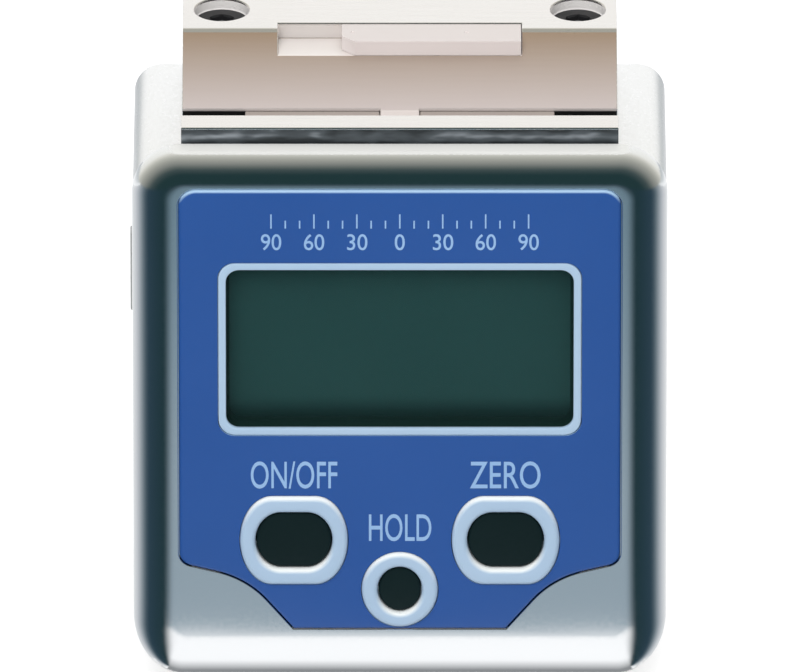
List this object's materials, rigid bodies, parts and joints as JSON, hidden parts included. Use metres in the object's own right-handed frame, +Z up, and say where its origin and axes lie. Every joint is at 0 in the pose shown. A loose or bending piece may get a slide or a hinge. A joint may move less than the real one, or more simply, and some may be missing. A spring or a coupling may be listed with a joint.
{
  "type": "digital inclinometer",
  "caption": "Pocket digital level box with a framed face, display window, three ringed keys, V-groove bars above and below with magnets, and a coin cell tray in the left side.",
  "frame": {"origin": "under the middle of the box, on the lands of the lower bar", "axes": "+X to the right seen from the face, +Y from the face to the back, +Z up"},
  "size_m": [0.0504, 0.0366, 0.0573],
  "materials": {
    "satin_silver": "satin chrome on a moulded frame",
    "case_silver": "silver paint with a fine grain",
    "ground_steel": "ground and plated, warm grey",
    "magnet_nickel": "nickel plated",
    "black_steel": "black oxide",
    "bright_steel": "zinc plated",
    "blue_print": "printed film, satin",
    "pale_blue": "moulded, semi-gloss",
    "clear_lens": "clear polished",
    "display_green": "polarised glass, display off",
    "display_white": "matt reflector",
    "black_plastic": "moulded, fine texture",
    "black_rubber": "matt",
    "board_green": "solder mask",
    "spring_metal": "plated spring strip",
    "wire_red": "insulation",
    "wire_black": "insulation"
  },
  "bodies": {
    "case": {"front_cover": "satin_silver", "rear_case": "case_silver", "top_v_bar": "ground_steel", "bottom_v_bar": "ground_steel", "top_edge_magnet": "magnet_nickel", "bottom_edge_magnet": "magnet_nickel", "top_slot_magnet_left": "magnet_nickel", "top_slot_magnet_right": "magnet_nickel", "bottom_slot_magnet_left": "magnet_nickel", "bottom_slot_magnet_right": "magnet_nickel", "top_bar_screw_left": "black_steel", "top_bar_screw_right": "black_steel", "bottom_bar_screw_left": "black_steel", "bottom_bar_screw_right": "black_steel", "cover_screw_bottom_left": "bright_steel", "cover_screw_bottom_right": "bright_steel", "cover_screw_top_left": "bright_steel", "cover_screw_top_right": "bright_steel", "face_sheet": "blue_print", "window_frame": "pale_blue", "window_lens": "clear_lens", "lcd_glass": "display_green", "lcd_reflector": "display_white", "lcd_holder": "black_plastic", "contact_strip": "black_rubber", "circuit_board": "board_green", "board_screw_bottom_left": "bright_steel", "board_screw_bottom_right": "bright_steel", "board_screw_top_left": "bright_steel", "board_screw_top_right": "bright_steel", "controller_chip": "black_plastic", "tilt_sensor": "black_plastic", "crystal": "bright_steel", "capacitor": "black_plastic", "onoff_ring": "pale_blue", "hold_ring": "pale_blue", "zero_ring": "pale_blue", "onoff_dome": "spring_metal", "hold_dome": "spring_metal", "zero_dome": "spring_metal", "battery_bay": "black_plastic", "positive_contact": "spring_metal", "negative_contact": "spring_metal", "positive_wire": "wire_red", "negative_wire": "wire_black"},
    "onoff_key": {"onoff_key": "black_rubber"},
    "hold_key": {"hold_key": "black_rubber"},
    "zero_key": {"zero_key": "black_rubber"},
    "battery_tray": {"battery_tray": "black_plastic", "coin_cell": "bright_steel"}
  },
  "joints": [
    {"name": "onoff_press", "type": "slide", "parent": "case", "child": "onoff_key", "axis": [0, 1, 0], "range_m": [0, 0.0005], "stiffness_N_per_m": 800, "springref_m": -0.0005},
    {"name": "hold_press", "type": "slide", "parent": "case", "child": "hold_key", "axis": [0, 1, 0], "range_m": [0, 0.0005], "stiffness_N_per_m": 800, "springref_m": -0.0005},
    {"name": "zero_press", "type": "slide", "parent": "case", "child": "zero_key", "axis": [0, 1, 0], "range_m": [0, 0.0005], "stiffness_N_per_m": 800, "springref_m": -0.0005},
    {"name": "battery_tray_slide", "type": "slide", "parent": "case", "child": "battery_tray", "axis": [-1, 0, 0], "range_m": [0, 0.023]}
  ]
}
